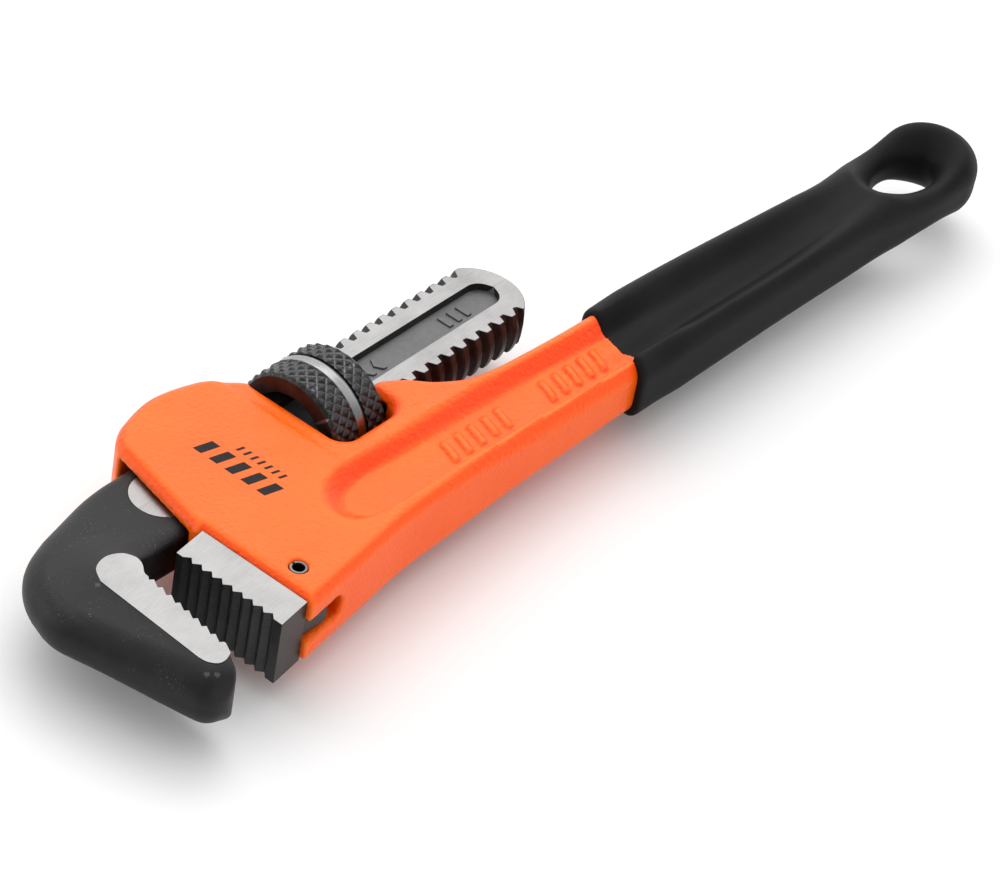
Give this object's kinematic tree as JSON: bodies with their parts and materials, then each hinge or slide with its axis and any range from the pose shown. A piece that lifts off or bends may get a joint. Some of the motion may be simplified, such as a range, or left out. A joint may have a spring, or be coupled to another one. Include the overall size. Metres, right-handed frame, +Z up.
{
  "type": "pipe wrench",
  "caption": "Heavy pipe wrench: floating hook jaw screwed in and out by a knurled nut, toothed heel jaw, I-section handle with dipped grip.",
  "frame": {"origin": "centre of the footprint at the lowest point, which is the rim of the adjusting nut", "axes": "+X along the shank from handle to jaws, +Y from the shank side to the mouth side, +Z up out of the flat of the tool"},
  "size_m": [0.2816, 0.0672, 0.0276],
  "materials": {
    "orange_paint": "gloss enamel over casting",
    "black_dip": "satin dipped vinyl",
    "forged_steel": "black forged skin",
    "black_oxide": "black oxide, knurled",
    "ground_steel": "ground bright",
    "spring_steel": "plain"
  },
  "bodies": {
    "frame": {"handle_housing": "orange_paint", "handle_grip": "black_dip", "heel_jaw": "ground_steel", "heel_jaw_pin": "spring_steel", "flat_spring": "spring_steel", "flat_spring_rivet": "spring_steel", "coil_spring": "spring_steel", "spring_plunger": "spring_steel"},
    "jaw": {"hook_jaw": "forged_steel"},
    "nut": {"adjusting_nut": "black_oxide"}
  },
  "joints": [
    {"name": "hook_jaw_slide", "type": "slide", "parent": "frame", "child": "jaw", "axis": [1, 0, 0], "range_m": [-0.0082, 0.03]},
    {"name": "nut_spin", "type": "hinge", "parent": "frame", "child": "nut", "pos_m": [0.05184, -0.0129, 0.0138], "axis": [1, 0, 0], "range_deg": [-2560, 706]}
  ],
  "couplings": [
    {"joint": "nut_spin", "follows": "hook_jaw_slide", "rad_per_m": -1484.2}
  ]
}
